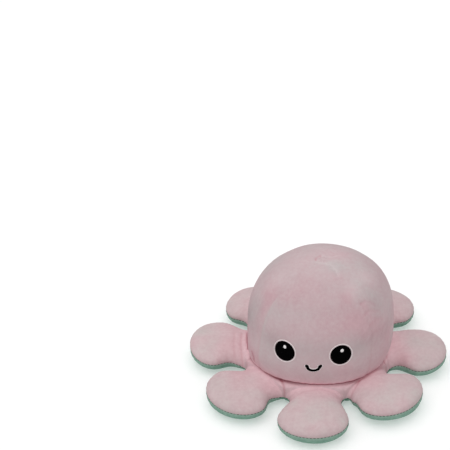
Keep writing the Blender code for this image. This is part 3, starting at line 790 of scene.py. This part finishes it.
# azimuth of each lobe, its tip and its widest place, its half widths and waists on the side of lower
# and of higher azimuth, how deep a bite rounds the corner at each waist, how much its crown and the
# seam at its tip stand above their lines, the power of its swell, and how much painted shade darkens
# its top and its rim
plainLobe = {"middle": 76, "halves": (25.5, 25.5), "waists": (19.3, 19.3), "bites": (0, 0), "crown": 0,
             "rise": 0, "puff": 0.45, "shade": 0, "rimShade": 0}
lobes = {
    "front": {"azimuth": 0.2, "tip": 100.8, "middle": 82, "halves": (25.4, 25.4), "waists": (17.8, 20.2),
              "puff": 0.56, "rimShade": 0.1},
    "front_right": {"azimuth": 46, "tip": 97, "middle": 75, "halves": (27.2, 27.2), "waists": (23.2, 17.8),
                    "bites": (2.8, 0), "rise": 1, "puff": 0.5, "rimShade": 0.08},
    "right": {"azimuth": 88.9, "tip": 98.7, "middle": 76.5, "halves": (24.8, 24.2), "waists": (17, 24.6),
              "crown": 0.3, "rise": 0.8, "shade": 0.05},
    "back_right": {"azimuth": 136, "tip": 99.5, "halves": (25.5, 25), "crown": -0.4, "shade": 0.05},
    "back": {"azimuth": 180, "tip": 99},
    "back_left": {"azimuth": -136, "tip": 98.5, "halves": (25, 25.5)},
    "left": {"azimuth": -91.1, "tip": 99.3, "middle": 78, "halves": (25.6, 26.2), "waists": (22, 20.3),
             "crown": 0.5, "rise": 1.5, "shade": -0.02},
    "front_left": {"azimuth": -46, "tip": 100, "middle": 77.5, "halves": (25.9, 28.3), "waists": (17.4, 20.8),
                   "rise": 0.3, "puff": 0.5, "rimShade": 0.08},
}
# each sector's nominal azimuth is an even share of the ring, and each lobe has its own lumps
for place, (name, lobe) in enumerate(lobes.items()):
    nominal = 360 / ring["count"] * place
    nominal = nominal if nominal <= 180 else nominal - 360
    lobes[name] = {**plainLobe, **lobe, "nominal": nominal, "seed": 11 + place}
# where the nap leans on the lobes: azimuth, distance from the middle, size, and how far to the greyer
# side, or to the rosy one
blushes = [
    (2, 96, 5, -0.6), (13, 89, 5, 0.4), (-10, 72, 6, 0.8), (12, 72, 7, 1.3), (-40, 87, 7, -0.4),
    (-32, 72, 6, 0.3), (42, 94, 5, -0.6), (30, 81, 5, -0.3), (31, 66, 6, 0.6), (47, 78, 7, 0.7),
    (52, 91, 6, 0.9), (74, 68, 5, -0.5), (88, 87, 7, 0.5), (88, 75, 7, 0.8), (-72, 77, 5, -0.6),
    (-93, 92, 7, 0.7), (-87, 79, 6, 0.3),
]
# folds in the cloth above: a line of azimuths and distances from the middle, depth, width and the share of
# painted fold shade
folds = [
    ([(-28, 52.5), (-24.5, 54.5), (-21.2, 58.8), (-18.4, 65)], 0.6, 0.8, 0.4),
    ([(36.5, 55.5), (32.3, 57.4), (26.3, 60.7), (22.6, 65.2)], 0.4, 0.8, 0.28),
    ([(38.6, 56.6), (48.2, 58.8), (55.1, 62.8)], 0.2, 1, 0.12),
    ([(-14.5, 66), (-9.5, 62.4), (-2.5, 58.8), (4.6, 57.2), (11.7, 58), (16.5, 60.4), (19, 66)], 0.2, 1, 0.1),
    ([(-98, 59.5), (-86.5, 58.3), (-74.3, 58.8), (-65, 60)], 0.5, 0.9, 0.25),
    ([(-97, 64.6), (-86.7, 63.8), (-75.4, 64), (-66, 63.6)], 0.35, 1.2, 0.12),
    ([(-101, 55), (-90, 53.2), (-79, 52.4)], 1, 1.1, 1),
    ([(87.7, 54.7), (74.7, 54.7), (70.2, 59.8)], 0.3, 1, 0.18),
    ([(69.8, 52.3), (67, 55.5), (65.3, 59.1)], 0.4, 0.9, 0.3),
    ([(-66, 54), (-65, 57), (-63, 61)], 0.4, 1.1, 0.18),
]
halfSector = math.pi / ring["count"]
notchAlong = ring["notchReach"] * math.cos(halfSector)
notchHalf = ring["notchReach"] * math.sin(halfSector)


# the rows of a sector, as reach along its middle, its half widths on both sides, and its share of
# the full depth: straight sides to the notch, a quarter turn in to the waist, less its bite, a swell
# to the lobe by a power of a sine, and a tip whose plan is round
def sectorRows(lobe, innerReaches, tipPower):
    neckTurn = np.linspace(0, tau / 4, 15)[1:]
    swell = np.linspace(0, 1, 19)[1:]
    tipTurn = np.linspace(0, tau / 4, 25)[1:]
    neckRun, lobeRun = ring["waistAlong"] - notchAlong, lobe["middle"] - ring["waistAlong"]
    reach = np.concatenate([
        innerReaches, ring["waistAlong"] - neckRun * np.cos(neckTurn), ring["waistAlong"] + lobeRun * swell,
        lobe["middle"] + (lobe["tip"] - lobe["middle"]) * np.sin(tipTurn),
    ])
    halves = np.stack([np.concatenate([
        innerReaches * math.tan(halfSector),
        waist + (notchHalf - waist) * (1 - np.sin(neckTurn)) - bite * np.sin(2 * neckTurn),
        waist + (half - waist) * np.sin(swell * tau / 4) ** 2, half * np.cos(tipTurn),
    ]) for half, waist, bite in zip(lobe["halves"], lobe["waists"], lobe["bites"])], -1)
    depth = np.ones_like(reach)
    depth[-len(tipTurn):] = np.clip(np.cos(tipTurn), 0, 1) ** tipPower
    return reach, halves, depth


# shares across a sector, from 1 on one side to -1 on the other: a power of a cosine
def sharesAcross():
    return signedPower(np.cos(np.linspace(0, math.pi, ring["across"] + 1)), 2 / ring["pillow"])


# plan of a sector: its inner rows are arcs round the head, and they straighten towards the notch
def sectorPlan(reach, halves):
    share = sharesAcross()
    s, r = np.meshgrid(share, reach)
    half = np.where(s > 0, halves[:, 1:], halves[:, :1])
    straight = ease((r - ring["innerReach"]) / (notchAlong - ring["innerReach"]))
    along = r * np.cos(s * halfSector) * (1 - straight) + r * straight
    aside = r * np.sin(s * halfSector) * (1 - straight) + half * s * straight
    inner = r < notchAlong
    return np.where(inner, along, r), np.where(inner, aside, half * s), s, r


# the rim seam is lower where it runs round a notch; inwards of the notch the edge that neighbours
# share leaves it for the valley between them, along a quarter of a superellipse
def edgeHeight(radius, row, valley, power):
    outwards = ease((row - notchAlong) / ring["notchSpread"])
    rim = ring["notchHeight"] + (ring["rimHeight"] - ring["notchHeight"]) * outwards
    inwards = np.clip(1 - (ring["notchReach"] - radius) / ring["notchRound"], 0, 1)
    shared = ring["notchHeight"] + (valley - ring["notchHeight"]) * (1 - inwards ** power) ** (1 / power)
    return np.where(row <= notchAlong + 1e-6, shared, rim)


# distance in plan from points to a smooth line through knots of azimuth and distance
def lineDistance(x, y, knots):
    azimuth, radius = np.array(knots, float).T
    lineX, lineY, _ = smoothLine(spotAt(np.radians(azimuth), radius, 0 * radius), 60)
    return np.sqrt(((x[..., None] - lineX) ** 2 + (y[..., None] - lineY) ** 2).min(-1))


# depth of the folds on a lobe's top, and its looks: a painted glow and rosy painted shade near the head,
# painted shade in the crease at the head's foot and in the folds, greyer towards the tip, and blushes in
# places
def topLooks(lobe, spots, radius, fromRim, held):
    x, y = spots[..., 0], spots[..., 1]
    depth, fold = 0, ring["shadeNearHead"] * (1 - ease((radius - ring["rosyFrom"]) / ring["rosyReach"]))
    for line, deep, width, tone in folds:
        near = bell(lineDistance(x, y, line), width) * held
        depth, fold = depth + deep * near, fold + tone * near
    azimuth = np.arctan2(x, -y)
    foot = ring["headFoot"] + head["shift"] * np.sin(azimuth)
    foot = foot + through(np.degrees(azimuth), head["cornersOut"])
    crease = np.exp(-np.maximum(radius - foot, 0) / ring["creaseFade"]) * creaseShade(azimuth)
    # painted shade in the crease, on the outer part of some lobes and near some rims
    shade = 0.25 * crease + lobe["shade"] * ease((radius - ring["shadeFrom"]) / ring["lobeFade"])
    shade = shade + lobe["rimShade"] * np.exp(-fromRim / 3)
    # a painted glow near the head's foot
    glow = 0.9 * np.exp(-np.maximum(radius - ring["paintedGlowFrom"], 0) / ring["paintedGlowReach"])
    towardsTip = ease((radius - ring["rosyFrom"]) / ring["napReach"])
    nap = ring["napHead"] + (ring["napTip"] - ring["napHead"]) * towardsTip
    nap = nap + ring["napPatches"] * lumps(spots * (1, 1, 0), 21, lobe["seed"])
    for turn, distance, size, amount in blushes:
        middle = spotAt(math.radians(turn), distance, 0)
        nap = nap + amount * bell(np.hypot(x - middle[0], y - middle[1]), size)
    return depth, {"fold": fold + 0.7 * crease, "glow": glow, "nap": nap, "shade": shade}


# one face of a sector: from its edge the cloth swells to its middle line as a superellipse, sharper
# near the head; then lumps, puckers along the rim, the seam that pinches it, and folds
def sectorFace(lobe, reach, halves, depth, upper):
    along, aside, share, row = sectorPlan(reach, halves)
    radius = np.hypot(along, aside)
    lifted = lobe["rise"] * ease((row - lobe["middle"]) / (lobe["tip"] - lobe["middle"]))
    if upper:
        edge = edgeHeight(radius, row, *ring["valleyTop"]) + lifted
        crown = lobe["crown"] * ease((row - ring["crownFrom"]) / ring["lobeFade"])
        middle = through(row, ring["topLine"]) + crown
        pastNeck = ease((row - ring["neckEnd"]) / ring["neckFade"])
        power = ring["neckPower"] + (lobe["puff"] - ring["neckPower"]) * pastNeck
    else:
        edge = edgeHeight(radius[:, :1], row, *ring["valleySole"]) + lifted
        middle = through(row, ring["soleLine"])
        power = ring["solePower"]
    middle = ring["rimHeight"] + lifted + (middle - ring["rimHeight"]) * depth[:, None]
    power = power + (ring["rootPower"] - power) * ease((notchAlong - row) / ring["rootFade"])
    swell = np.clip(1 - np.abs(share) ** ring["swellShape"], 0, 1) ** power
    height = edge + (middle - edge) * swell
    lump = lumps(np.stack([along, aside, height], -1), ring["lumpSize"], lobe["seed"]) * swell
    height = height + ring["lumpHeight"] * (lump if upper else -lump)

    opened = ease((row - notchAlong) / ring["openFade"])
    fromRim = np.abs(height - edge)
    steps = np.hypot(np.diff(reach, prepend=reach[0]), np.diff(halves[:, 0], prepend=halves[0, 0]))
    rimRun = np.cumsum(steps)[:, None] * np.sign(share) + 0.7 * np.sin(row * 0.9)
    pucker = np.sin(rimRun * tau / ring["puckerLength"]) * np.exp(-fromRim / ring["puckerFade"])
    pulled = ring["puckerDepth"] * pucker * np.minimum(fromRim / 1.5, 1)
    pulled = (pulled + ring["pinch"] * np.exp(-fromRim / ring["pinchFade"])) * opened
    way = unit(np.stack([along - np.minimum(along, lobe["middle"]), aside], -1))
    along, aside = along - way[..., 0] * pulled, aside - way[..., 1] * pulled

    if upper:
        held = np.minimum(swell * 3 + (1 - opened), 1)
        folded, marks = topLooks(lobe, placeSector(lobe, along, aside, height), radius, fromRim, held)
        height = height - folded
    else:
        height = np.maximum(height, ring["floorGap"])
        # painted shade along the underside's seams
        seam = 0.4 * (1 - opened) * bell((1 - np.abs(share)) * row * halfSector, 1.6)
        # a painted glow along the rim on the underside
        glow = 0.7 * np.exp(-fromRim / 1.2) * opened
        marks = {"fold": seam, "glow": glow, "nap": 0 * seam, "shade": 0 * seam}
    # rosy painted shade along the rim seam
    marks["fold"] = np.clip(marks["fold"] + ring["shadeNearRim"] * np.exp(-fromRim / 1.5) * opened, 0, 1)
    return along, aside, height, marks


# to the toy's own axes; the lobe turns to its measured azimuth while the notches stay
def placeSector(lobe, along, aside, height):
    radius = np.hypot(along, aside)
    away = math.radians(lobe["azimuth"] - lobe["nominal"])
    turn = math.radians(lobe["nominal"]) + away * ease((radius - ring["turnFrom"]) / ring["lobeFade"])
    return np.stack([
        along * np.sin(turn) + aside * np.cos(turn), -along * np.cos(turn) + aside * np.sin(turn), height,
    ], -1)


# the piece's placement is baked into its points
def hinge(piece):
    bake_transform(piece)


def addSkin(name, lobe, along, aside, height, marks):
    inside = spotAt(math.radians(lobe["nominal"]), ring["waistAlong"], ring["rimHeight"])
    piece = addSurface(name, placeSector(lobe, along, aside, height), inside, marks=marks)
    addWall(piece, ring["wall"])
    return piece


def addTop(name, lobe):
    rows = sectorRows(lobe, np.linspace(ring["innerReach"], notchAlong, 20), ring["topTip"])
    return addSkin("tentacle_skin_" + name, lobe, *sectorFace(lobe, *rows, True))


# the mouth's rolled lip leads the underside in: a quarter turn from upright to flat on the floor
def addUnderside(name, lobe):
    rows = sectorRows(lobe, np.linspace(ring["lipReach"], notchAlong, 14), ring["soleTip"])
    along, aside, height, marks = sectorFace(lobe, *rows, False)
    s, t = np.meshgrid(sharesAcross(), np.linspace(0, tau / 4, 12)[:-1])
    radius = ring["lipReach"] - (ring["lipReach"] - hollow["mouthRadius"]) * np.cos(t)
    lipHeight = hollow["mouthHeight"] - (hollow["mouthHeight"] - height[0]) * np.sin(t)
    along = np.concatenate([radius * np.cos(s * halfSector), along])
    aside = np.concatenate([radius * np.sin(s * halfSector), aside])
    height = np.concatenate([lipHeight, height])
    # painted shade along the lip's seams
    seam = 0.5 * bell((1 - np.abs(s)) * radius * halfSector, 1.6)
    for mark, values in marks.items():
        marks[mark] = np.concatenate([seam if mark == "fold" else 0 * s, values])
    return addSkin("tentacle_sole_" + name, lobe, along, aside, height, marks)


# stitches along the rim: short rounded beads laid end to end in the seam
def addStitches(name, lobe):
    rows = sectorRows(lobe, np.array([notchAlong]), ring["topTip"])
    rim = placeSector(lobe, *sectorFace(lobe, *rows, True)[:3])
    line = np.concatenate([rim[:, 0], rim[::-1, -1][1:]])
    run = np.concatenate([[0], np.cumsum(np.linalg.norm(np.diff(line, axis=0), axis=1))])
    spots = np.arange(ring["stitchGap"], run[-1] - ring["stitchGap"], ring["stitchGap"])
    at, ahead = (np.stack([np.interp(s, run, values) for values in line.T], -1) for s in (spots, spots + 0.5))
    up = np.array([0, 0, 1.0])
    way = unit(ahead - at)[:, None, None]
    a, e = np.meshgrid(np.linspace(0, tau, 6, endpoint=False), np.linspace(-1, 1, 5))
    girth = np.sqrt(1 - e**4) * ring["stitchWidth"] / 2
    lengthwise = (e * ring["stitchLength"] / 2)[..., None] * way
    bead = (at[:, None, None] + lengthwise + (girth * np.cos(a))[..., None] * np.cross(way, up)
            + (girth * np.sin(a))[..., None] * up)
    firstOfBead = np.arange(len(bead))[:, None, None] * a.size
    faces = gridFaces(bead[0], at[0], True) + firstOfBead
    piece = addMesh("rim_stitches_" + name, bead.reshape(-1, 3), faces.reshape(-1, 4))
    dress(piece, seamThread)
    hinge(piece)


for name, lobe in lobes.items():
    top, sole = addTop(name, lobe), addUnderside(name, lobe)
    dress(top, pinkVelour, ["tentacle_top_" + name, "tentacle_filling_" + name])
    dress(sole, greenVelour, ["tentacle_underside_" + name])
    if name == "front":
        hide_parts("skirt_top_panel", "skirt_filling")
        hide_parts("skirt_underside_panel")
    for piece in (top, sole):
        hinge(piece)
    addStitches(name, lobe)
print("tentacles made")


# The studio: a pale floor, soft light from all round, and the photograph's camera

studio = {
    "floorSize": 4000, "floorColour": colour(254, 254, 254), "skyStrength": 0.5,
    "lamps": [
        {"name": "overhead", "from": (-0.15, -0.1, 1), "spread": 75, "strength": 0.7, "shadow": True},
        {"name": "fill", "from": (-0.1, -0.15, 1), "spread": 60, "strength": 1.15, "shadow": False},
    ],
    "elevation": math.radians(36.275), "yaw": math.radians(2.615), "roll": math.radians(0.823),
    "distance": 737.882, "aim": (0, 0, 40), "aimPixel": (315.863, 317.663), "focal": 960.97, "picture": 450,
}


def addStudio():
    size = studio["floorSize"]
    corners = np.array([[-1, -1, 0], [1, -1, 0], [1, 1, 0], [-1, 1, 0]], float) * size / 2
    corners[:, 2] = -0.02
    floor = addMesh("floor", corners, np.array([[0, 1, 2, 3]]))
    material, tree, shader = newMaterial("pale floor")
    place = addNode(tree, "ShaderNodeTexCoord").outputs["Object"]
    grain = noise(tree, place, 3, 2)
    tone = mixColour(tree, grain, studio["floorColour"], colour(252, 252, 252))
    tree.links.new(tone, shader.inputs["Base Color"])
    shader.inputs["Roughness"].default_value = 0.9
    floor.data.materials.append(material)
    world = bpy.data.worlds.new("studio")
    bpy.context.scene.world = world
    world.use_nodes = True
    backdrop = world.node_tree.nodes["Background"]
    backdrop.inputs["Color"].default_value = (1, 1, 1, 1)
    backdrop.inputs["Strength"].default_value = studio["skyStrength"]
    for lamp in studio["lamps"]:
        light = bpy.data.lights.new(lamp["name"], "SUN")
        light.angle = math.radians(lamp["spread"])
        light.energy = lamp["strength"]
        light.use_shadow = lamp["shadow"]
        holder = bpy.data.objects.new(lamp["name"], light)
        holder.rotation_euler = Vector(lamp["from"]).to_track_quat("Z", "Y").to_euler()
        bpy.context.scene.collection.objects.link(holder)


# the camera stands at an elevation and yaw round its aim point, is rolled, and is then turned so
# that the aim point falls on its pixel
def addCamera():
    e, yaw, roll = studio["elevation"], studio["yaw"], studio["roll"]
    back = Vector((math.sin(yaw) * math.cos(e), -math.cos(yaw) * math.cos(e), math.sin(e)))
    right = Vector((math.cos(yaw), math.sin(yaw), 0))
    axes = Matrix((right, back.cross(right), -back))
    rolled = Matrix.Rotation(roll, 3, "Z") @ axes
    half = studio["picture"] / 2
    toPixel = Vector(((studio["aimPixel"][0] - half) / studio["focal"],
                      (half - studio["aimPixel"][1]) / studio["focal"], 1))
    turned = Vector((0, 0, 1)).rotation_difference(toPixel).to_matrix() @ rolled
    camera = bpy.data.cameras.new("camera")
    camera.lens = studio["focal"] / studio["picture"] * camera.sensor_width
    camera.clip_start, camera.clip_end = 0.01, 20
    holder = bpy.data.objects.new("camera", camera)
    place = (Vector(studio["aim"]) + back * studio["distance"]) * mm
    columns = Matrix((turned[0], turned[1], -turned[2])).transposed()
    holder.matrix_world = Matrix.Translation(place) @ columns.to_4x4()
    bpy.context.scene.collection.objects.link(holder)
    bpy.context.scene.camera = holder


addStudio()
addCamera()
bpy.context.scene.view_settings.view_transform = "Standard"
print("studio made")
